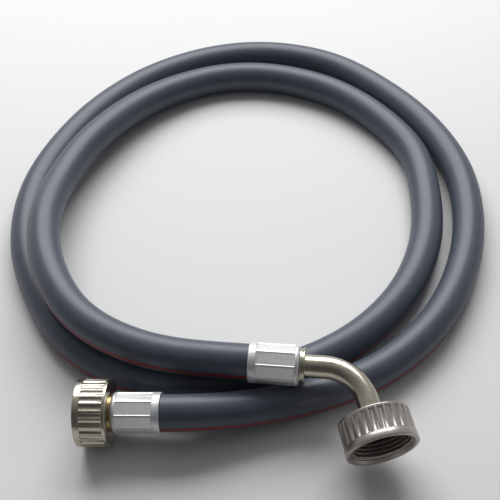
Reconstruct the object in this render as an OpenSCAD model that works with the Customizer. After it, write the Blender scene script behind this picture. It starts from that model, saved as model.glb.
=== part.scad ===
// Washing-machine inlet hose, lying in two turns, with a straight end and an elbow end.
// Millimetres, +Z up. The hose lies on the plane Z = 0.

/* [Hose] */
// outside diameter of the hose
hose_diameter = 16; // [14:0.5:17]
// water bore of the hose
bore_diameter = 10; // [9:0.5:10.5]
// thickness of the reinforcing braid layer
braid_thickness = 0.6; // [0.4:0.1:0.8]
// width of the marking stripe
stripe_width = 1.8; // [1:0.2:2.6]

/* [Ferrules] */
// wall of both crimped sleeves, outside the hose
ferrule_wall = 0.85; // [0.75:0.05:1.2]
// length of the sleeve at the straight end
straight_ferrule_length = 21; // [17:0.5:25]
// length of the sleeve at the elbow end
elbow_ferrule_length = 22; // [18:0.5:26]
// depth of the pressed flats at their middle
crimp_depth = 0.6; // [0.3:0.05:0.7]
// length of the round band left on the hose side
hose_band = 3.4; // [2:0.2:4]
// length of the round band left on the fitting side
fitting_band = 2; // [1:0.2:3]

/* [Nuts] */
// outside diameter of the straight end's nut
straight_nut_diameter = 29; // [28.5:0.1:32]
// outside diameter of the elbow end's nut
elbow_nut_diameter = 31; // [29:0.1:33]
// length of the straight end's nut
straight_nut_length = 14; // [13.6:0.2:18]
// length of the elbow end's nut
elbow_nut_length = 14.8; // [13.6:0.2:18]
// inside diameter across the thread crests
thread_minor_diameter = 24.12; // [24.12]
// number of shallow flutes round a nut
flute_count = 27; // [24:1:30]
// width of the wider rim at the elbow nut's mouth
rim_width = 3.4; // [2:0.2:3.6]
// how far that rim stands out from the nut
rim_step = 0.35; // [0.2:0.05:0.8]
// thickness of the nuts' back walls
back_wall = 2; // [1.6:0.1:2.4]

/* [Fittings] */
// outside diameter of the straight end's neck
neck_diameter = 16; // [14:0.5:17]
// thickness of the seat that a nut pulls against
seat_thickness = 1.6; // [1.2:0.1:2]
// thickness of the rubber washers
washer_thickness = 2; // [1.5:0.1:2.5]
// hole in the rubber washers
washer_hole = 13; // [10:0.5:16]
// outside diameter of the bent tube
tube_diameter = 10; // [9:0.1:11]
// wall of the bent tube and of the barbed insert
tube_wall = 1; // [0.7:0.1:1.3]
// bend radius of the tube's centreline
bend_radius = 20; // [17:0.5:22]
// straight length of tube before the bend
tube_lead = 8.4; // [6:0.2:12]
// straight length of tube between the bend and the nut
elbow_leg = 8.3; // [3:0.1:10]
// outside diameter of the collar ring on the tube
collar_diameter = 15.6; // [13:0.2:17]
// thickness of the collar ring
collar_thickness = 2.3; // [1.5:0.1:3]

/* [Hidden] */
// radial gap of the nuts on the neck and on the tube
running_gap = 0.06;
// gap along the axis between a nut and what holds it
end_play = 0.3;
// gap between pieces that are pressed, crimped or joined
joint_gap = 0.02;
// gap between the hose's layers
layer_gap = 0.04;
// gap between a washer or seat and the thread crests
bore_gap = 0.5;
// the bore is wider than the crests behind the free thread, and that starts this far past the washer
relief_depth = 0.75;
relief_past = 0.4;

// faces round the hose
hose_sides = 12;
// one face of the hose, as an angle
face_angle = 360 / hose_sides;
// the middle of each face lies this far in from its corners, as a ratio
face_ratio = cos(face_angle / 2);
hose_radius = hose_diameter / 2;
bore_radius = bore_diameter / 2;
// mid-wall line that the braid is centred on
braid_centre = bore_radius + 0.38 * (hose_radius - bore_radius);
braid_outer = braid_centre + braid_thickness / 2;
braid_inner = braid_centre - braid_thickness / 2;
// height of the centreline where the hose lies on the floor
rest_height = hose_radius * face_ratio;
// thickness of the stripe, and how far round from level outward it sits
stripe_thickness = 0.18;
stripe_angle = 0;

// moves the route so that the whole part is centred over the origin
route_shift = [0.5, -11.3, 0];
// route of the hose's centreline between the two ferrules; heights count up from lying on the floor
route = [
  [-37.4, -111.1, 9.9],
  [-5, -106, 5.2],
  [28, -95.5, 0.6],
  [60, -80, 0],
  [86, -54, 0],
  [103, -21, 0],
  [111, 14, 0],
  [110, 50, 0],
  [98, 84, 0],
  [77, 114, 0],
  [48, 139.5, 0],
  [13, 150, 0],
  [-22, 146, 0],
  [-56, 128.5, 0],
  [-83, 101, 0],
  [-102, 67, 0],
  [-112, 32, 0],
  [-111, -4, 0],
  [-100, -36, 0],
  [-81, -66, 0],
  [-52, -84, 0],
  [-18, -87.5, 0],
  [17, -81, 0],
  [49, -63, 0],
  [73, -36, 0],
  [87, -3, 0],
  [91, 32, 0],
  [87, 66, 0],
  [68, 97, 0],
  [42, 119, 0],
  [8, 130, 0],
  [-26, 126, 0],
  [-58, 105, 2.5],
  [-82, 72.5, 6.2],
  [-96, 39, 8],
  [-101, 3, 12.7],
  [-94.5, -33, 15.5],
  [-76, -64, 16.2],
  [-44, -83, 16.7],
  [-0.5, -90, 17.7]
];
// directions the three straight axes point in, away from the hose
straight_axis = unit([-0.9944, 0.0636, -0.0842]);
elbow_axis_in = unit([0.994, -0.1, 0.02]);
elbow_axis_out = unit([0.2307, -0.9523, -0.1997]);

// steps between two route points
route_steps = 2;
route_count = len(route);
nodes_at = [for (p = route) p + route_shift + [0, 0, rest_height]];
straight_root = nodes_at[0];
elbow_root = nodes_at[route_count - 1];
span_in = norm(nodes_at[1] - nodes_at[0]);
span_out = norm(nodes_at[route_count - 1] - nodes_at[route_count - 2]);

// thickness left at the closed end of a ferrule
ferrule_lip = 1.5;
straight_hose_end = straight_ferrule_length - ferrule_lip - joint_gap;
elbow_hose_end = elbow_ferrule_length - ferrule_lip - joint_gap;
ferrule_radius = hose_radius + ferrule_wall;
// inside the ferrules the hose is squeezed from its own radius down to this one
squeezed_radius = hose_radius - 0.65;
squeeze_from = 1.5;
squeeze_to = 3.5;
crimp_flats = 8;

neck_radius = neck_diameter / 2;
tube_radius = tube_diameter / 2;
tube_bore = tube_radius - tube_wall;
crest_radius = thread_minor_diameter / 2;
seat_radius = crest_radius - bore_gap;
// flat ring left round the mouth of each nut, and the depth over which the mouth narrows to the thread
mouth_land = 1.15;
mouth_depth = 1.6;
// distance from the ferrule to the straight nut's back
nut_stand_off = 0.8;
// flute cutter and the smooth bands left beyond the flutes
flute_radius = 2.2;
flute_depth = 0.45;
straight_front_band = 2.9;
straight_back_band = 1.2;
elbow_back_band = 1.4;
// smooth strip between the elbow nut's flutes and its raised rim
rim_shoulder = 0.3;
edge_chamfer = 0.4;
// groove round the middle of the collar ring
collar_groove = 0.5;

// how much the bend's wall is drawn thinner on each side, and its overlap with the straights
bend_draw = 0.05;
bend_overlap = 0.5;

// barbs on the inserts
barb_height = 0.35;
barb_pitch = 4;
barb_count = 4;
// radius of an insert between its barbs, clear of the hose's flat bore faces
insert_radius = bore_radius * face_ratio - barb_height - joint_gap;

// the collar clears the tube and the start of the insert
collar_hole = max(tube_radius, insert_radius) + joint_gap;

// axial stations inside a nut, from its back face
seat_back = back_wall + end_play;
seat_front = seat_back + seat_thickness;
washer_back = seat_front + joint_gap;
washer_radius = seat_radius - 0.1;
thread_from = washer_back + washer_thickness + relief_past;

straight_nut_at = straight_root
  + straight_axis * (straight_ferrule_length + nut_stand_off);
bend_turn = acos(elbow_axis_in * elbow_axis_out);
bend_reach = bend_radius * tan(bend_turn / 2);
collar_at = elbow_root + elbow_axis_in * (elbow_ferrule_length + joint_gap);
bend_start = elbow_root
  + elbow_axis_in * (elbow_ferrule_length + collar_thickness + tube_lead);
bend_corner = bend_start + elbow_axis_in * bend_reach;
bend_end = bend_corner + elbow_axis_out * bend_reach;
elbow_nut_at = bend_end + elbow_axis_out * elbow_leg;
// unit vector from the start of the bend to its centre
bend_inward = unit(elbow_axis_out
  - elbow_axis_in * (elbow_axis_in * elbow_axis_out));
bend_centre = bend_start + bend_inward * bend_radius;

function unit(v) = v / norm(v);

// smooth point between route points a and b, with tangents ta and tb
function blend(a, b, ta, tb, t) =
  (2 * pow(t, 3) - 3 * t * t + 1) * a
  + (pow(t, 3) - 2 * t * t + t) * ta
  + (3 * t * t - 2 * pow(t, 3)) * b
  + (pow(t, 3) - t * t) * tb;

// direction of that curve
function blend_slope(a, b, ta, tb, t) =
  (6 * t * t - 6 * t) * a
  + (3 * t * t - 4 * t + 1) * ta
  + (6 * t - 6 * t * t) * b
  + (3 * t * t - 2 * t) * tb;

function tangent_at(i) =
  i == 0 ? -straight_axis * span_in
  : i == route_count - 1 ? elbow_axis_in * span_out
  : (nodes_at[i + 1] - nodes_at[i - 1]) / 2;

// the hose never dips below lying on the floor
function lifted(p) = [p[0], p[1], max(p[2], rest_height)];

function curve_point(i, t) =
  lifted(blend(nodes_at[i], nodes_at[i + 1], tangent_at(i), tangent_at(i + 1), t));

function curve_slope(i, t) =
  unit(blend_slope(nodes_at[i], nodes_at[i + 1], tangent_at(i), tangent_at(i + 1), t));

// how much of the hose's wall is left by the squeeze inside a ferrule
squeeze = (squeezed_radius - bore_radius) / (hose_radius - bore_radius);

// every station along the hose as [point, direction, wall left], the ends inside the ferrules included
stations = concat(
  [[straight_root + straight_axis * straight_hose_end, -straight_axis, squeeze]],
  [[straight_root + straight_axis * squeeze_to, -straight_axis, squeeze]],
  [[straight_root + straight_axis * squeeze_from, -straight_axis, 1]],
  [for (i = [0 : route_count - 2], s = [0 : route_steps - 1])
    [curve_point(i, s / route_steps), curve_slope(i, s / route_steps), 1]],
  [[elbow_root, elbow_axis_in, 1]],
  [[elbow_root + elbow_axis_in * squeeze_from, elbow_axis_in, 1]],
  [[elbow_root + elbow_axis_in * squeeze_to, elbow_axis_in, squeeze]],
  [[elbow_root + elbow_axis_in * elbow_hose_end, elbow_axis_in, squeeze]]
);
station_count = len(stations);
// stations at each end that lie inside a ferrule
covered_stations = 3;

// level direction pointing out of the turns, and the one square to it
function side_at(s) = unit(cross(s[1], [0, 0, 1]));
function up_at(s) = cross(side_at(s), s[1]);

// one corner of the hose's section
function rim_point(s, radius, angle) =
  s[0] + radius * (cos(angle) * side_at(s) + sin(angle) * up_at(s));

// radius at a station of a layer whose free radius is given
function squeezed(s, radius) = bore_radius + (radius - bore_radius) * s[2];

function section_ring(s, radius) =
  [for (k = [0 : hose_sides - 1]) rim_point(s, squeezed(s, radius), face_angle * (k + 0.5))];

// a hollow tube along the hose's route, in one closed surface
module route_tube(outer, inner) {
  n = hose_sides;
  m = station_count;
  points = [
    for (s = stations) each section_ring(s, outer),
    for (s = stations) each section_ring(s, inner)
  ];
  in0 = m * n;
  faces = [
    for (r = [0 : m - 2], k = [0 : n - 1])
      [r * n + k, r * n + (k + 1) % n, (r + 1) * n + (k + 1) % n, (r + 1) * n + k],
    for (r = [0 : m - 2], k = [0 : n - 1])
      [in0 + (r + 1) * n + k, in0 + (r + 1) * n + (k + 1) % n,
       in0 + r * n + (k + 1) % n, in0 + r * n + k],
    for (k = [0 : n - 1])
      [in0 + k, in0 + (k + 1) % n, (k + 1) % n, k],
    for (k = [0 : n - 1])
      [(m - 1) * n + k, (m - 1) * n + (k + 1) % n,
       in0 + (m - 1) * n + (k + 1) % n, in0 + (m - 1) * n + k]
  ];
  polyhedron(points, faces, convexity = 12);
}

// the four corners of the stripe's section, lying on one face of the cover
function stripe_ring(s) =
  let (
    out = cos(stripe_angle) * side_at(s) + sin(stripe_angle) * up_at(s),
    along = -sin(stripe_angle) * side_at(s) + cos(stripe_angle) * up_at(s),
    low = hose_radius * face_ratio + layer_gap,
    high = low + stripe_thickness,
    half = stripe_width / 2
  )
  [
    s[0] + low * out - half * along,
    s[0] + high * out - half * along,
    s[0] + high * out + half * along,
    s[0] + low * out + half * along
  ];

// places a piece drawn along +Z at a point, pointing along a direction
module aim(point, direction) {
  translate(point)
    rotate([0, acos(direction[2]), atan2(direction[1], direction[0])])
      children();
}

module outer_cover() {
  color([0.33, 0.36, 0.42])
    route_tube(hose_radius, braid_outer + layer_gap);
}

module braid() {
  color([0.85, 0.85, 0.8])
    route_tube(braid_outer, braid_inner);
}

module inner_tube() {
  color([0.2, 0.2, 0.22])
    route_tube(braid_inner - layer_gap, bore_radius);
}

// stripe between the two ferrules, on the outside of the turns
module marker_stripe() {
  rings = [for (i = [covered_stations : station_count - 1 - covered_stations])
    stripe_ring(stations[i])];
  m = len(rings);
  points = [for (r = rings) each r];
  faces = [
    for (r = [0 : m - 2], k = [0 : 3])
      [r * 4 + k, r * 4 + (k + 1) % 4, (r + 1) * 4 + (k + 1) % 4, (r + 1) * 4 + k],
    [3, 2, 1, 0],
    [(m - 1) * 4, (m - 1) * 4 + 1, (m - 1) * 4 + 2, (m - 1) * 4 + 3]
  ];
  color([0.4, 0.06, 0.08])
    polyhedron(points, faces, convexity = 8);
}

// crimped sleeve along +Z from the hose side, with a lip round a hole at its far end
module ferrule(length, hole) {
  flat_length = length - hose_band - fitting_band;
  flat_radius = (ferrule_radius - crimp_depth) / cos(180 / crimp_flats);
  difference() {
    union() {
      cylinder(r = ferrule_radius, h = hose_band, $fn = 96);
      translate([0, 0, length - fitting_band])
        cylinder(r = ferrule_radius, h = fitting_band, $fn = 96);
      intersection() {
        cylinder(r = ferrule_radius, h = length, $fn = 96);
        translate([0, 0, hose_band])
          cylinder(r = flat_radius, h = flat_length, $fn = crimp_flats);
      }
    }
    rotate_extrude($fn = 96)
      polygon([
        [0, -1], [hose_radius + joint_gap, -1], [hose_radius + joint_gap, squeeze_from],
        [squeezed_radius + joint_gap, squeeze_to],
        [squeezed_radius + joint_gap, length - ferrule_lip], [hole, length - ferrule_lip],
        [hole, length + 1], [0, length + 1]
      ]);
  }
}

module straight_ferrule() {
  color([0.8, 0.82, 0.85])
    aim(straight_root, straight_axis)
      ferrule(straight_ferrule_length, insert_radius + joint_gap);
}

module elbow_ferrule() {
  color([0.8, 0.82, 0.85])
    aim(elbow_root, elbow_axis_in)
      ferrule(elbow_ferrule_length, insert_radius + joint_gap);
}

// barbs round an insert, from height 0 towards its tip at -Z
module barbs(from) {
  for (i = [0 : barb_count - 1])
    translate([0, 0, from - (i + 1) * barb_pitch])
      cylinder(r1 = insert_radius, r2 = insert_radius + barb_height,
               h = barb_pitch * 0.7, $fn = 64);
}

// insert, neck and seat of the straight end; +Z points out of the hose from the ferrule's far face
module straight_tail() {
  insert_length = straight_ferrule_length - 2;
  neck_length = nut_stand_off + back_wall + end_play;
  color([0.78, 0.66, 0.38])
    aim(straight_root + straight_axis * straight_ferrule_length, straight_axis)
      difference() {
        union() {
          translate([0, 0, -insert_length])
            cylinder(r = insert_radius, h = insert_length + 1, $fn = 64);
          barbs(-ferrule_lip - 0.5);
          translate([0, 0, joint_gap])
            cylinder(r = neck_radius, h = neck_length - joint_gap, $fn = 96);
          translate([0, 0, neck_length])
            cylinder(r = seat_radius, h = seat_thickness, $fn = 96);
        }
        translate([0, 0, -insert_length - 1])
          cylinder(r = insert_radius - tube_wall,
                   h = insert_length + neck_length + seat_thickness + 2, $fn = 64);
      }
}

// swivel nut along +Z from its back face to its mouth, with an optional raised rim there
module swivel_nut(radius, length, hole, front_band, back_band, step = 0) {
  flute_length = length - front_band - back_band;
  raised = step > 0
    ? [[radius, length - rim_width], [radius + step, length - rim_width]]
    : [];
  profile = concat(
    [[hole, 0], [radius - edge_chamfer, 0], [radius, edge_chamfer]],
    raised,
    [[radius + step, length - edge_chamfer], [radius + step - edge_chamfer, length],
     [radius + step - edge_chamfer - mouth_land, length],
     [crest_radius, length - mouth_depth], [crest_radius, thread_from],
     [crest_radius + relief_depth, thread_from], [crest_radius + relief_depth, back_wall],
     [hole, back_wall]]
  );
  difference() {
    rotate_extrude($fn = 108)
      polygon(profile);
    for (i = [0 : flute_count - 1])
      rotate([0, 0, i * 360 / flute_count])
        translate([radius + flute_radius - flute_depth, 0, back_band])
          cylinder(r = flute_radius, h = flute_length, $fn = 24);
  }
}

module straight_nut() {
  color([0.72, 0.69, 0.6])
    aim(straight_nut_at, straight_axis)
      swivel_nut(straight_nut_diameter / 2, straight_nut_length,
                 neck_radius + running_gap, straight_front_band,
                 straight_back_band);
}

module elbow_nut() {
  color([0.62, 0.6, 0.56])
    aim(elbow_nut_at, elbow_axis_out)
      swivel_nut(elbow_nut_diameter / 2, elbow_nut_length,
                 tube_radius + running_gap, rim_width + rim_shoulder,
                 elbow_back_band, rim_step);
}

module washer() {
  difference() {
    cylinder(r = washer_radius, h = washer_thickness, $fn = 96);
    translate([0, 0, -1])
      cylinder(r = washer_hole / 2, h = washer_thickness + 2, $fn = 64);
  }
}

module straight_washer() {
  color([0.1, 0.1, 0.1])
    aim(straight_nut_at + straight_axis * washer_back, straight_axis)
      washer();
}

module elbow_washer() {
  color([0.1, 0.1, 0.1])
    aim(elbow_nut_at + elbow_axis_out * washer_back, elbow_axis_out)
      washer();
}

module elbow_collar() {
  color([0.7, 0.68, 0.62])
    aim(collar_at, elbow_axis_in)
      difference() {
        cylinder(d = collar_diameter, h = collar_thickness - joint_gap, $fn = 96);
        translate([0, 0, (collar_thickness - collar_groove) / 2])
          ring(collar_diameter, collar_diameter / 2 - collar_groove, collar_groove);
        translate([0, 0, -1])
          cylinder(r = collar_hole, h = collar_thickness + 2, $fn = 96);
      }
}

// moves children into the plane of the bend, with the bend's centre at the origin
module in_bend_plane() {
  out = -bend_inward;
  along = elbow_axis_in;
  normal = cross(out, along);
  multmatrix([
    [out[0], along[0], normal[0], bend_centre[0]],
    [out[1], along[1], normal[1], bend_centre[1]],
    [out[2], along[2], normal[2], bend_centre[2]],
    [0, 0, 0, 1]
  ])
    children();
}

// places a piece drawn along +Z at the start of the bend, pointing back to the hose
module before_bend() {
  in_bend_plane()
    translate([bend_radius, 0, 0])
      rotate([90, 0, 0])
        children();
}

// places a piece drawn along +Z at the end of the bend, pointing to the nut
module after_bend() {
  in_bend_plane()
    rotate([0, 0, bend_turn])
      translate([bend_radius, 0, 0])
        rotate([-90, 0, 0])
          children();
}

module ring(outer, inner, height) {
  difference() {
    cylinder(r = outer, h = height, $fn = 64);
    translate([0, 0, -1])
      cylinder(r = inner, h = height + 2, $fn = 64);
  }
}

module elbow_tube() {
  bore = insert_radius - tube_wall;
  lead = tube_lead + collar_thickness - joint_gap;
  insert_length = elbow_ferrule_length - 2;
  color([0.7, 0.68, 0.62]) {
    in_bend_plane()
      rotate_extrude(angle = bend_turn, $fn = 96)
        translate([bend_radius, 0])
          difference() {
            circle(r = tube_radius - bend_draw, $fn = 64);
            circle(r = bore + bend_draw, $fn = 64);
          }
    after_bend()
      translate([0, 0, -bend_overlap])
        ring(tube_radius, bore, elbow_leg + seat_front + bend_overlap);
    before_bend() {
      translate([0, 0, -bend_overlap])
        ring(tube_radius, bore, lead + bend_overlap);
      translate([0, 0, lead])
        mirror([0, 0, 1])
          translate([0, 0, -insert_length])
            difference() {
              union() {
                cylinder(r = insert_radius, h = insert_length + 1, $fn = 64);
                translate([0, 0, insert_length])
                  barbs(-ferrule_lip - 0.5);
              }
              translate([0, 0, -1])
                cylinder(r = bore, h = insert_length + 3, $fn = 64);
            }
    }
  }
}

module elbow_seat() {
  color([0.7, 0.68, 0.62])
    aim(elbow_nut_at + elbow_axis_out * seat_back, elbow_axis_out)
      difference() {
        cylinder(r = seat_radius, h = seat_thickness, $fn = 96);
        translate([0, 0, -1])
          cylinder(r = tube_radius + joint_gap, h = seat_thickness + 2, $fn = 96);
      }
}

outer_cover();
marker_stripe();
braid();
inner_tube();
straight_ferrule();
straight_tail();
straight_nut();
straight_washer();
elbow_ferrule();
elbow_collar();
elbow_tube();
elbow_seat();
elbow_nut();
elbow_washer();
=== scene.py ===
"""Appliance inlet hose in two turns, with a straight and an elbow swivel nut.

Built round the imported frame, in metres, +Z up, the hose lying on the plane Z = 0.
"""

import math

import bpy
from mathutils import Matrix, Vector


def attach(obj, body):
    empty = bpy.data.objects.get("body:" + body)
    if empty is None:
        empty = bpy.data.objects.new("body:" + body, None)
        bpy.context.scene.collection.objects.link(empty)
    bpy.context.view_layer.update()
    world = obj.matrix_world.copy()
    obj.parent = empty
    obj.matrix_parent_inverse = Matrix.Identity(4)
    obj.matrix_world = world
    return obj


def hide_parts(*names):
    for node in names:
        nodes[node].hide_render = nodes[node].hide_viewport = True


MM = 0.001
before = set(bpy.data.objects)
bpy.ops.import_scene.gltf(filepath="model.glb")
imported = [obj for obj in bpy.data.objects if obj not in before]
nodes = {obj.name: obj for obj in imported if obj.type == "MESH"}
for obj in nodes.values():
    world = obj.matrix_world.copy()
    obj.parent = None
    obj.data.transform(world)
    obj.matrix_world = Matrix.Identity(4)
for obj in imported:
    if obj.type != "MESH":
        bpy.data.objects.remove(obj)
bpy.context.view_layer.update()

# ---------------------------------------------------------------- camera

# the route below is drawn about the point that the camera looks at
ROUTE_SHIFT = Vector((0.5, -11.3, 0.0)) * MM
CAMERA_DISTANCE = 560 * MM
CAMERA_ELEVATION = math.radians(47)

camera_data = bpy.data.cameras.new("camera")
camera_data.sensor_width = 36
camera_data.lens = 79.9
camera_data.clip_start = 0.01
camera = bpy.data.objects.new("camera", camera_data)
bpy.context.scene.collection.objects.link(camera)
camera.location = ROUTE_SHIFT + CAMERA_DISTANCE * Vector(
    (0, -math.cos(CAMERA_ELEVATION), math.sin(CAMERA_ELEVATION))
)
camera.rotation_euler = (math.pi / 2 - CAMERA_ELEVATION, 0, 0)
bpy.context.scene.camera = camera

# ---------------------------------------------------------------- sizes

HOSE_RADIUS = 8 * MM
COVER_INNER = 6.55 * MM
BRAID_OUTER = 6.45 * MM
BRAID_INNER = 5.85 * MM
LINER_OUTER = 5.8 * MM
BORE_RADIUS = 5 * MM
# the frame's hose has twelve faces, so its middle rests this high
REST_HEIGHT = HOSE_RADIUS * math.cos(math.radians(15))

STRAIGHT_FERRULE = 21 * MM
ELBOW_FERRULE = 22 * MM
FERRULE_LIP = 1.5 * MM
FERRULE_RADIUS = 8.85 * MM
NUT_STAND_OFF = 0.8 * MM
COLLAR = 2.3 * MM
TUBE_LEAD = 8.4 * MM
BEND_RADIUS = 20 * MM
ELBOW_LEG = 8.3 * MM
TUBE_RADIUS = 5 * MM
TUBE_BORE = 3.5 * MM
BACK_WALL = 2 * MM
END_PLAY = 0.3 * MM
SEAT = 1.6 * MM
GAP = 0.02 * MM
# inside the ferrules the hose is squeezed to a smaller radius between these depths
SQUEEZED_RADIUS = 7.35 * MM
SQUEEZE_FROM = 1.5 * MM
SQUEEZE_TO = 3.5 * MM
SQUEEZE_HOLD = 8 * MM
SMOOTHING_PASSES = 6

# ---------------------------------------------------------------- route

# centreline between the two ferrules: x, y and the lift above lying on the floor, in metres
ROUTE = [
    (-0.0374, -0.1111, 0.0099),
    (-0.005, -0.106, 0.0052),
    (0.028, -0.0955, 0.0006),
    (0.060, -0.080, 0.0),
    (0.086, -0.054, 0.0),
    (0.103, -0.021, 0.0),
    (0.111, 0.014, 0.0),
    (0.110, 0.050, 0.0),
    (0.098, 0.084, 0.0),
    (0.077, 0.114, 0.0),
    (0.048, 0.1395, 0.0),
    (0.013, 0.150, 0.0),
    (-0.022, 0.146, 0.0),
    (-0.056, 0.1285, 0.0),
    (-0.083, 0.101, 0.0),
    (-0.102, 0.067, 0.0),
    (-0.112, 0.032, 0.0),
    (-0.111, -0.004, 0.0),
    (-0.100, -0.036, 0.0),
    (-0.081, -0.066, 0.0),
    (-0.052, -0.084, 0.0),
    (-0.018, -0.0875, 0.0),
    (0.017, -0.081, 0.0),
    (0.049, -0.063, 0.0),
    (0.073, -0.036, 0.0),
    (0.087, -0.003, 0.0),
    (0.091, 0.032, 0.0),
    (0.087, 0.066, 0.0),
    (0.068, 0.097, 0.0),
    (0.042, 0.119, 0.0),
    (0.008, 0.130, 0.0),
    (-0.026, 0.126, 0.0),
    (-0.058, 0.105, 0.0025),
    (-0.082, 0.0725, 0.0062),
    (-0.096, 0.039, 0.008),
    (-0.101, 0.003, 0.0127),
    (-0.0945, -0.033, 0.0155),
    (-0.076, -0.064, 0.0162),
    (-0.044, -0.083, 0.0167),
    (-0.0005, -0.090, 0.0177),
]
STRAIGHT_AXIS = Vector((-0.9944, 0.0636, -0.0842)).normalized()
ELBOW_AXIS_IN = Vector((0.994, -0.1, 0.02)).normalized()
ELBOW_AXIS_OUT = Vector((0.2307, -0.9523, -0.1997)).normalized()
STEPS_PER_SPAN = 12
UP = Vector((0, 0, 1))

route = [Vector(p) + ROUTE_SHIFT + REST_HEIGHT * UP for p in ROUTE]
straight_root = route[0]
elbow_root = route[-1]


def tangent_at(i):
    """The curve's speed at a route point: clamped to the fittings at both ends."""
    if i == 0:
        return -STRAIGHT_AXIS * (route[1] - route[0]).length
    if i == len(route) - 1:
        return ELBOW_AXIS_IN * (route[-1] - route[-2]).length
    return (route[i + 1] - route[i - 1]) / 2


def span_point(i, t):
    """A point of the curve between route points i and i + 1."""
    a, b = route[i], route[i + 1]
    ta, tb = tangent_at(i), tangent_at(i + 1)
    p = (
        (2 * t**3 - 3 * t**2 + 1) * a
        + (t**3 - 2 * t**2 + t) * ta
        + (3 * t**2 - 2 * t**3) * b
        + (t**3 - t**2) * tb
    )
    p.z = max(p.z, REST_HEIGHT)
    return p


def smoothed(points, passes):
    """The same line with small changes of curvature spread out; the ends stay."""
    for _ in range(passes):
        middle = [
            (points[i - 1] + 2 * points[i] + points[i + 1]) / 4
            for i in range(1, len(points) - 1)
        ]
        points = [points[0]] + middle + [points[-1]]
    return points


def hose_line():
    """Points along the hose's centreline from one cut end to the other."""
    inside = [
        straight_root + STRAIGHT_AXIS * depth
        for depth in (STRAIGHT_FERRULE - FERRULE_LIP - GAP, SQUEEZE_HOLD, SQUEEZE_TO, SQUEEZE_FROM)
    ]
    between = [
        span_point(i, s / STEPS_PER_SPAN)
        for i in range(len(route) - 1)
        for s in range(STEPS_PER_SPAN)
    ]
    between.append(elbow_root)
    tail = [
        elbow_root + ELBOW_AXIS_IN * depth
        for depth in (SQUEEZE_FROM, SQUEEZE_TO, SQUEEZE_HOLD, ELBOW_FERRULE - FERRULE_LIP - GAP)
    ]
    return inside + smoothed(between, SMOOTHING_PASSES) + tail


# ---------------------------------------------------------------- mesh helpers


def add_mesh(name, verts, faces, material, body, stands_for=None, slot=None, sharp=32):
    """A smooth-shaded piece with sharp edges kept, riding on a body."""
    mesh = bpy.data.meshes.new(name)
    mesh.from_pydata([tuple(v) for v in verts], [], faces)
    mesh.validate()
    mesh.polygons.foreach_set("use_smooth", [True] * len(mesh.polygons))
    mesh.set_sharp_from_angle(angle=math.radians(sharp))
    mesh.update()
    piece = bpy.data.objects.new(name, mesh)
    bpy.context.scene.collection.objects.link(piece)
    mesh.materials.append(material)
    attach(piece, body)
    if stands_for:
        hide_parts(stands_for)
    return piece


def band(a, b, count):
    """Faces between two rings of the same count whose vertices start at a and at b."""
    faces = []
    for k in range(count):
        n = (k + 1) % count
        faces.append((a + k, a + n, b + n, b + k))
    return faces


def join_rings(rings):
    """Vertices and faces of a closed skin through rings, the last joined to the first."""
    count = len(rings[0])
    verts = [v for ring in rings for v in ring]
    faces = []
    for r in range(len(rings)):
        faces += band(r * count, ((r + 1) % len(rings)) * count, count)
    return verts, faces


def capped_rings(rings):
    """Vertices and faces of a solid skin through rings, closed at both ends."""
    count = len(rings[0])
    verts = [v for ring in rings for v in ring]
    last = (len(rings) - 1) * count
    faces = []
    for r in range(len(rings) - 1):
        faces += band(r * count, (r + 1) * count, count)
    faces.append(tuple(reversed(range(count))))
    faces.append(tuple(range(last, last + count)))
    return verts, faces


def section_axes(direction):
    """Level and upright directions square to a direction."""
    side = direction.cross(UP).normalized()
    return side, side.cross(direction)


def tangents(line):
    """The direction of a line of points at each of them."""
    out = []
    for i in range(len(line)):
        a = line[max(i - 1, 0)]
        b = line[min(i + 1, len(line) - 1)]
        out.append((b - a).normalized())
    return out


def section(point, direction, radius, sides):
    """A circle of points round a line, counter-clockwise seen from its far end."""
    side, up = section_axes(direction)
    return [
        point
        + radius * (math.cos(a) * side + math.sin(a) * up)
        for a in (math.tau * (k + 0.5) / sides for k in range(sides))
    ]


def hollow_tube(line, outer, inner, sides):
    """A tube along a line, with an outer and an inner radius for each of its points."""
    directions = tangents(line)
    skin = [section(p, d, r, sides) for p, d, r in zip(line, directions, outer)]
    bore = [section(p, d, r, sides) for p, d, r in zip(line, directions, inner)]
    return join_rings(skin + bore[::-1])


def aimed(point, direction):
    """Frame with +Z along a direction and +X as near straight up as that allows."""
    x = (UP - direction * direction.z).normalized()
    y = direction.cross(x)
    m = Matrix((x, y, direction)).transposed().to_4x4()
    m.translation = point
    return m


def turned(profile, sides, place):
    """Rings of a turned piece: the profile's points are (height, radius or function of angle)."""
    rings = []
    for z, radius in profile:
        ring = []
        for k in range(sides):
            a = math.tau * k / sides
            r = radius(a) if callable(radius) else radius
            ring.append(place @ Vector((r * math.cos(a), r * math.sin(a), z)))
        rings.append(ring)
    return join_rings(rings)


def ease(x):
    """0 below 0, 1 above 1, and a smooth step between."""
    x = min(max(x, 0.0), 1.0)
    return x * x * (3 - 2 * x)


def window(z, low, high, soft):
    """1 between low and high, falling to 0 over a soft edge inside them."""
    return ease((z - low) / soft) * ease((high - z) / soft)


def spread(low, high, count):
    """Evenly spaced values from low to high."""
    return [low + (high - low) * i / count for i in range(count + 1)]


# ---------------------------------------------------------------- materials


GRAIN_HEIGHT = 0.02 * MM


def new_material(name):
    material = bpy.data.materials.new(name)
    material.use_nodes = True
    tree = material.node_tree
    shader = tree.nodes["Principled BSDF"]
    return material, tree, shader


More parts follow.
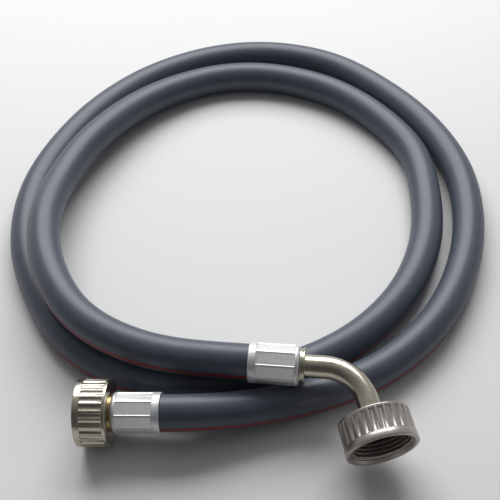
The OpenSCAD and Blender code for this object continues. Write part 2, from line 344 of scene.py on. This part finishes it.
def noise_between(tree, low, high, scale):
    """Object-space noise mapped between two colours; returns the colour output."""
    place = tree.nodes.new("ShaderNodeTexCoord")
    noise = tree.nodes.new("ShaderNodeTexNoise")
    noise.inputs["Scale"].default_value = scale
    noise.inputs["Detail"].default_value = 4.0
    ramp = tree.nodes.new("ShaderNodeValToRGB")
    ramp.color_ramp.elements[0].position = 0.3
    ramp.color_ramp.elements[0].color = (*low, 1)
    ramp.color_ramp.elements[1].position = 0.7
    ramp.color_ramp.elements[1].color = (*high, 1)
    tree.links.new(place.outputs["Object"], noise.inputs["Vector"])
    tree.links.new(noise.outputs["Fac"], ramp.inputs["Fac"])
    return noise, ramp.outputs["Color"]


def plain_material(
    name, low, high, roughness, metallic=0.0, scale=400.0, bump=0.0, rough_swing=0.06
):
    """A material whose colour, gloss and fine bump vary with noise."""
    material, tree, shader = new_material(name)
    noise, colour = noise_between(tree, low, high, scale)
    tree.links.new(colour, shader.inputs["Base Color"])
    shader.inputs["Metallic"].default_value = metallic
    gloss = tree.nodes.new("ShaderNodeMapRange")
    gloss.inputs["To Min"].default_value = roughness - rough_swing
    gloss.inputs["To Max"].default_value = roughness + rough_swing
    tree.links.new(noise.outputs["Fac"], gloss.inputs["Value"])
    tree.links.new(gloss.outputs["Result"], shader.inputs["Roughness"])
    if bump:
        grain = tree.nodes.new("ShaderNodeBump")
        grain.inputs["Strength"].default_value = bump
        grain.inputs["Distance"].default_value = GRAIN_HEIGHT
        tree.links.new(noise.outputs["Fac"], grain.inputs["Height"])
        tree.links.new(grain.outputs["Normal"], shader.inputs["Normal"])
    return material


cover_pvc = plain_material(
    "cover_pvc", (0.064, 0.078, 0.104), (0.073, 0.088, 0.117), 0.42, scale=260, bump=0.15
)
stripe_ink = plain_material(
    "stripe_ink", (0.21, 0.012, 0.02), (0.26, 0.02, 0.03), 0.42, scale=900
)
braid_yarn = plain_material("braid_yarn", (0.6, 0.6, 0.55), (0.8, 0.8, 0.75), 0.8, scale=900)
liner_pvc = plain_material("liner_pvc", (0.02, 0.02, 0.022), (0.03, 0.03, 0.034), 0.5)
ferrule_metal = plain_material(
    "ferrule_metal", (0.72, 0.735, 0.745), (0.80, 0.815, 0.825), 0.38, 0.5, scale=700, bump=0.25
)
brass = plain_material("brass", (0.50, 0.38, 0.19), (0.58, 0.45, 0.24), 0.28, 1.0, scale=500)
nickel_plate = plain_material(
    "nickel_plate", (0.52, 0.48, 0.39), (0.58, 0.54, 0.45), 0.24, 1.0, scale=500, bump=0.08
)
nickel_matte = plain_material(
    "nickel_matte", (0.40, 0.36, 0.335), (0.52, 0.47, 0.44), 0.33, 0.95, scale=1400, bump=0.4
)
washer_rubber = plain_material(
    "washer_rubber", (0.012, 0.012, 0.012), (0.02, 0.02, 0.02), 0.6, scale=900
)
for node_name, node_material in (
    ("straight_tail", brass),
    ("straight_washer", washer_rubber),
    ("elbow_washer", washer_rubber),
    ("elbow_seat", nickel_plate),
):
    nodes[node_name].data.materials.clear()
    nodes[node_name].data.materials.append(node_material)

# ---------------------------------------------------------------- hose

line = hose_line()
squeeze = (SQUEEZED_RADIUS - BORE_RADIUS) / (HOSE_RADIUS - BORE_RADIUS)
SQUEEZED_POINTS = 3


def layer(radius):
    """A layer's radius at every point of the line, smaller inside the ferrules."""
    small = BORE_RADIUS + (radius - BORE_RADIUS) * squeeze
    free = len(line) - 2 * SQUEEZED_POINTS
    return [small] * SQUEEZED_POINTS + [radius] * free + [small] * SQUEEZED_POINTS


COVER_SIDES = 48
LAYER_SIDES = 24
cover = add_mesh(
    "hose_cover",
    *hollow_tube(line, layer(HOSE_RADIUS), layer(COVER_INNER), COVER_SIDES),
    cover_pvc,
    "hose",
    "outer_cover",
    "cover_pvc",
)
add_mesh(
    "hose_braid",
    *hollow_tube(line, layer(BRAID_OUTER), layer(BRAID_INNER), LAYER_SIDES),
    braid_yarn,
    "hose",
    "braid",
    "braid_yarn",
)
add_mesh(
    "hose_liner",
    *hollow_tube(line, layer(LINER_OUTER), layer(BORE_RADIUS), LAYER_SIDES),
    liner_pvc,
    "hose",
    "inner_tube",
    "liner_pvc",
)

STRIPE_FROM = math.radians(-8)
STRIPE_TO = math.radians(-4)
STRIPE_WIDTH = 1.8 * MM
STRIPE_HEIGHT = 0.06 * MM


def stripe_rings():
    """The marking stripe: a thin strip that keeps to the cover's round surface."""
    directions = tangents(line)
    rings = []
    first, last = 4, len(line) - 4
    across = spread(-0.5, 0.5, 4)
    for i in range(first, last):
        share = (i - first) / (last - 1 - first)
        middle = STRIPE_FROM + (STRIPE_TO - STRIPE_FROM) * share
        side, up = section_axes(directions[i])

        def at(offset, radius):
            a = middle + offset * STRIPE_WIDTH / HOSE_RADIUS
            return line[i] + radius * (math.cos(a) * side + math.sin(a) * up)

        top = [at(o, HOSE_RADIUS + STRIPE_HEIGHT) for o in across]
        under = [at(o, HOSE_RADIUS - STRIPE_HEIGHT) for o in reversed(across)]
        rings.append(top + under)
    return rings


add_mesh(
    "hose_stripe", *capped_rings(stripe_rings()), stripe_ink, "hose", "marker_stripe", "stripe_ink"
)

# ---------------------------------------------------------------- ferrules

CRIMP_SIDES = 8
CRIMP_DEPTH = 0.7 * MM
RIDGE_WIDTH = 0.9 * MM
RIDGE_RAMP = 0.22 * MM
HOSE_BAND = 3.4 * MM
FITTING_BAND = 2 * MM
CRIMP_RAMP = 0.45 * MM
LIP_HOLE = 4.5 * MM
LIP_ROUND = 1.5 * MM
HOSE_EDGE = 0.3 * MM
CORNER_SAMPLES = 32
SLEEVE_SIDES = CRIMP_SIDES * CORNER_SAMPLES


def crimped_corner(share_of_flat):
    """Radius of a pressed section, from a corner (0) to the middle of a flat (1)."""
    half = math.pi / CRIMP_SIDES
    local = half * (1 - share_of_flat)
    flat = (FERRULE_RADIUS - CRIMP_DEPTH) / math.cos(local)
    from_corner = half * share_of_flat * FERRULE_RADIUS
    ridge = 1 - ease((from_corner - RIDGE_WIDTH / 2) / RIDGE_RAMP)
    return min(flat + (FERRULE_RADIUS - flat) * ridge, FERRULE_RADIUS)


def crimped(z, length):
    """Radius round a crimped sleeve at a height, as a function of angle."""
    share = window(z, HOSE_BAND - CRIMP_RAMP / 2, length - FITTING_BAND + CRIMP_RAMP / 2, CRIMP_RAMP)
    flat = math.tau / CRIMP_SIDES

    def radius(a):
        off = abs((a + flat / 2) % flat - flat / 2)
        pressed = crimped_corner(off / (flat / 2))
        return sleeve_radius(z, length) + (pressed - FERRULE_RADIUS) * share

    return radius


def sleeve_radius(z, length):
    """The sleeve's own radius at a height, rounded over at the closed end."""
    into = z - (length - LIP_ROUND)
    if into <= 0:
        return FERRULE_RADIUS
    return FERRULE_RADIUS - LIP_ROUND + math.sqrt(max(LIP_ROUND**2 - into**2, 0.0))


def ferrule_profile(length):
    """Heights and radii round a sleeve: hose edge, outside, closed end, inside."""
    open_bore = HOSE_RADIUS + GAP
    tight_bore = SQUEEZED_RADIUS + GAP
    profile = [
        (SQUEEZE_FROM, open_bore),
        (HOSE_EDGE, open_bore),
        (0, open_bore + HOSE_EDGE / 2),
        (0, FERRULE_RADIUS - HOSE_EDGE),
        (HOSE_EDGE / 3, FERRULE_RADIUS - HOSE_EDGE / 3),
        (HOSE_EDGE, FERRULE_RADIUS),
    ]
    low, high = HOSE_BAND - CRIMP_RAMP / 2, length - FITTING_BAND + CRIMP_RAMP / 2
    for z in spread(low, low + CRIMP_RAMP, 6) + spread(high - CRIMP_RAMP, high, 6):
        profile.append((z, crimped(z, length)))
    for z in spread(high, length, 10)[1:]:
        profile.append((z, crimped(z, length)))
    profile += [
        (length, LIP_HOLE),
        (length - FERRULE_LIP, LIP_HOLE),
        (length - FERRULE_LIP, tight_bore),
        (SQUEEZE_TO, tight_bore),
    ]
    return profile


straight_ferrule = add_mesh(
    "straight_sleeve",
    *turned(ferrule_profile(STRAIGHT_FERRULE), SLEEVE_SIDES, aimed(straight_root, STRAIGHT_AXIS)),
    ferrule_metal,
    "hose",
    "straight_ferrule",
    "ferrule_metal",
)
elbow_ferrule = add_mesh(
    "elbow_sleeve",
    *turned(ferrule_profile(ELBOW_FERRULE), SLEEVE_SIDES, aimed(elbow_root, ELBOW_AXIS_IN)),
    ferrule_metal,
    "hose",
    "elbow_ferrule",
    "ferrule_metal",
)

# ---------------------------------------------------------------- elbow tube and collar

straight_nut_at = straight_root + STRAIGHT_AXIS * (STRAIGHT_FERRULE + NUT_STAND_OFF)
bend_turn = ELBOW_AXIS_IN.angle(ELBOW_AXIS_OUT)
bend_reach = BEND_RADIUS * math.tan(bend_turn / 2)
bend_start = elbow_root + ELBOW_AXIS_IN * (ELBOW_FERRULE + COLLAR + TUBE_LEAD)
bend_end = bend_start + bend_reach * (ELBOW_AXIS_IN + ELBOW_AXIS_OUT)
elbow_nut_at = bend_end + ELBOW_AXIS_OUT * ELBOW_LEG
inward = (ELBOW_AXIS_OUT - ELBOW_AXIS_IN * ELBOW_AXIS_IN.dot(ELBOW_AXIS_OUT)).normalized()
bend_centre = bend_start + inward * BEND_RADIUS

BARB_RADIUS = 4.46 * MM
BARB_HEIGHT = 0.35 * MM
BARB_PITCH = 4 * MM
BARBS = 4
TUBE_SIDES = 64


def tube_line():
    """Centreline and outer radii of the bent tube, barbed where it is in the hose."""
    insert = ELBOW_FERRULE - 2 * MM
    face = elbow_root + ELBOW_AXIS_IN * ELBOW_FERRULE
    points, radii = [], []

    def add(point, radius):
        points.append(point)
        radii.append(radius)

    for barb in range(BARBS, 0, -1):
        start = face - ELBOW_AXIS_IN * (FERRULE_LIP + 0.5 * MM + barb * BARB_PITCH)
        if barb == BARBS:
            add(face - ELBOW_AXIS_IN * insert, BARB_RADIUS)
        add(start, BARB_RADIUS)
        add(start + ELBOW_AXIS_IN * BARB_PITCH * 0.7, BARB_RADIUS + BARB_HEIGHT)
        add(start + ELBOW_AXIS_IN * BARB_PITCH * 0.72, BARB_RADIUS)
    add(face, BARB_RADIUS)
    add(face + ELBOW_AXIS_IN * 2 * GAP, TUBE_RADIUS)
    for d in spread(0.5 * MM, COLLAR + TUBE_LEAD - 0.5 * MM, 5):
        add(face + ELBOW_AXIS_IN * d, TUBE_RADIUS)
    for a in spread(0, bend_turn, 32):
        add(
            bend_centre
            - BEND_RADIUS * math.cos(a) * inward
            + BEND_RADIUS * math.sin(a) * ELBOW_AXIS_IN,
            TUBE_RADIUS,
        )
    out_length = ELBOW_LEG + BACK_WALL + END_PLAY + SEAT
    for d in spread(0.5 * MM, out_length, 6):
        add(bend_end + ELBOW_AXIS_OUT * d, TUBE_RADIUS)
    return points, radii


tube_points, tube_radii = tube_line()
elbow_tube = add_mesh(
    "elbow_pipe",
    *hollow_tube(tube_points, tube_radii, [TUBE_BORE] * len(tube_points), TUBE_SIDES),
    nickel_plate,
    "hose",
    "elbow_tube",
    "nickel_plate",
)

COLLAR_RADIUS = 7.8 * MM
COLLAR_ROUND = 0.35 * MM
COLLAR_GROOVE = 0.5 * MM
COLLAR_SIDES = 96
ROUND_STEPS = 5


def rounded_edges(radius, low, high, rounding):
    """Profile of a band from one height to another with both outer edges rounded."""
    quarter = spread(0, math.pi / 2, ROUND_STEPS)
    inner = radius - rounding
    first = [(low + rounding - rounding * math.cos(a), inner + rounding * math.sin(a)) for a in quarter]
    second = [(high - rounding + rounding * math.sin(a), inner + rounding * math.cos(a)) for a in quarter]
    return first + second


def collar_profile():
    """Profile of the collar: two rounded bands with a groove between them."""
    height = COLLAR - GAP
    groove_low = (height - COLLAR_GROOVE) / 2
    groove_high = (height + COLLAR_GROOVE) / 2
    floor_radius = COLLAR_RADIUS - COLLAR_GROOVE
    return (
        [(0, TUBE_RADIUS + GAP)]
        + rounded_edges(COLLAR_RADIUS, 0, groove_low, COLLAR_ROUND)
        + [(groove_low, floor_radius), (groove_high, floor_radius)]
        + rounded_edges(COLLAR_RADIUS, groove_high, height, COLLAR_ROUND)
        + [(height, TUBE_RADIUS + GAP)]
    )


collar_at = elbow_root + ELBOW_AXIS_IN * (ELBOW_FERRULE + GAP)
elbow_collar = add_mesh(
    "elbow_ring",
    *turned(
        collar_profile(),
        COLLAR_SIDES,
        aimed(collar_at, ELBOW_AXIS_IN),
    ),
    nickel_plate,
    "hose",
    "elbow_collar",
    "nickel_plate",
)

# ---------------------------------------------------------------- swivel nuts

FLUTES = 27
FLUTE_DEPTH = 0.45 * MM
FLUTE_RADIUS = 2.2 * MM
FLUTE_SAMPLES = 14
THREAD_MINOR = 12.06 * MM
THREAD_DEPTH = 1.1 * MM
THREAD_PITCH = 1.814 * MM
THREAD_MAJOR = 13.2 * MM
MOUTH_LAND = 1.15 * MM
MOUTH_STEP = 0.1 * MM
NUT_EDGE = 0.4 * MM
FLUTE_END = 0.3 * MM
THREAD_STEPS = 64
RELIEF_DEPTH = 0.75 * MM
THREAD_FROM = 6.32 * MM


def fluted(radius, share):
    """Radius round a nut where its flutes are cut to a share of their depth."""
    pitch = math.tau / FLUTES

    def at(a):
        off = abs((a + pitch / 2) % pitch - pitch / 2) * radius
        reach = FLUTE_RADIUS**2 - off**2
        depth = FLUTE_DEPTH - FLUTE_RADIUS + math.sqrt(max(reach, 0.0))
        return radius - max(depth, 0.0) * share

    return at


def threaded(z, low, high):
    """Radius round a threaded bore at a height, the thread fading out at both ends."""
    share = window(z, low, high, THREAD_PITCH * 0.6)

    def at(a):
        turn = (z / THREAD_PITCH - a / math.tau) % 1.0
        crest = abs(turn * 2 - 1)
        shape = ease((crest - 0.12) / 0.76)
        return THREAD_MAJOR - THREAD_DEPTH * (1 - shape) * share

    return at


def nut_profile(radius, length, hole, front_band, back_band, step=0.0, step_width=0.0):
    """Heights and radii of a nut: back face, fluted outside, mouth, thread, back wall."""
    profile = [(0, hole), (0, radius - NUT_EDGE - 0.1 * MM)]
    quarter = spread(0, math.pi / 2, 4)
    for a in quarter[1:]:
        profile.append(
            (NUT_EDGE - NUT_EDGE * math.cos(a), radius - NUT_EDGE + NUT_EDGE * math.sin(a))
        )
    low, high = back_band, length - front_band
    for z in spread(low, low + FLUTE_END, 4) + spread(high - FLUTE_END, high, 4):
        profile.append((z, fluted(radius, window(z, low, high, FLUTE_END))))
    rim = radius + step
    if step:
        base = length - step_width
        profile += [(base, radius), (base + 0.12 * MM, rim - 0.12 * MM), (base + 0.3 * MM, rim)]
    for a in quarter:
        profile.append(
            (length - NUT_EDGE + NUT_EDGE * math.sin(a), rim - NUT_EDGE + NUT_EDGE * math.cos(a))
        )
    mouth_radius = max(rim - NUT_EDGE - MOUTH_LAND, THREAD_MAJOR + MOUTH_STEP)
    mouth_depth = mouth_radius - THREAD_MAJOR
    profile += [(length, mouth_radius), (length - mouth_depth, THREAD_MAJOR)]
    thread_high = length - mouth_depth - MOUTH_STEP
    for z in reversed(spread(THREAD_FROM, thread_high, THREAD_STEPS)):
        profile.append((z, threaded(z, THREAD_FROM - THREAD_PITCH * 0.5, thread_high)))
    relief = THREAD_MINOR + RELIEF_DEPTH
    profile += [(THREAD_FROM - GAP, relief), (BACK_WALL, relief), (BACK_WALL, hole)]
    return profile


straight_nut = add_mesh(
    "straight_swivel_nut",
    *turned(
        nut_profile(
            radius=14.5 * MM,
            length=14 * MM,
            hole=8.06 * MM,
            front_band=2.9 * MM,
            back_band=1.2 * MM,
        ),
        FLUTES * FLUTE_SAMPLES,
        aimed(straight_nut_at, STRAIGHT_AXIS),
    ),
    nickel_plate,
    "straight_swivel",
    "straight_nut",
    "nickel_plate",
    40,
)
elbow_nut = add_mesh(
    "elbow_swivel_nut",
    *turned(
        nut_profile(
            radius=15.5 * MM,
            length=14.8 * MM,
            hole=5.06 * MM,
            front_band=3.7 * MM,
            back_band=1.4 * MM,
            step=0.35 * MM,
            step_width=3.4 * MM,
        ),
        FLUTES * FLUTE_SAMPLES,
        aimed(elbow_nut_at, ELBOW_AXIS_OUT),
    ),
    nickel_matte,
    "elbow_swivel",
    "elbow_nut",
    "nickel_matte",
    40,
)

# ---------------------------------------------------------------- floor and light

floor_material, floor_tree, floor_shader = new_material("floor")
floor_noise, floor_colour = noise_between(floor_tree, (0.72, 0.72, 0.72), (0.74, 0.74, 0.74), 3.0)
floor_tree.links.new(floor_colour, floor_shader.inputs["Base Color"])
floor_shader.inputs["Roughness"].default_value = 0.6
bpy.ops.mesh.primitive_plane_add(size=6, location=(0, 0, 0))
floor = bpy.context.object
floor.name = "floor"
floor.data.materials.append(floor_material)

world = bpy.data.worlds.new("world")
bpy.context.scene.world = world
world.use_nodes = True
sky = world.node_tree.nodes["Background"]
sky.inputs["Color"].default_value = (0.97, 0.98, 1.0, 1)
# the room is dim behind the camera and brighter beyond the hose
sky_place = world.node_tree.nodes.new("ShaderNodeTexCoord")
sky_split = world.node_tree.nodes.new("ShaderNodeSeparateXYZ")
sky_fade = world.node_tree.nodes.new("ShaderNodeMapRange")
sky_fade.inputs["From Min"].default_value = -0.6
sky_fade.inputs["From Max"].default_value = 0.7
sky_fade.inputs["To Min"].default_value = 0.08
sky_fade.inputs["To Max"].default_value = 0.5
world.node_tree.links.new(sky_place.outputs["Generated"], sky_split.inputs["Vector"])
world.node_tree.links.new(sky_split.outputs["Y"], sky_fade.inputs["Value"])
world.node_tree.links.new(sky_fade.outputs["Result"], sky.inputs["Strength"])
bpy.context.scene.view_settings.view_transform = "Standard"


def soft_light(name, place, target, size, power, colour=(1, 1, 1)):
    """A square area light aimed at a point."""
    data = bpy.data.lights.new(name, "AREA")
    data.shape = "RECTANGLE"
    data.size, data.size_y = size
    data.energy = power
    data.color = colour
    lamp = bpy.data.objects.new(name, data)
    bpy.context.scene.collection.objects.link(lamp)
    lamp.location = place
    direction = Vector(target) - Vector(place)
    lamp.rotation_euler = direction.to_track_quat("-Z", "Y").to_euler()
    return lamp


soft_light("window", (-0.06, 0.70, 0.74), (0, 0.02, 0), (1.1, 0.7), 12.6)
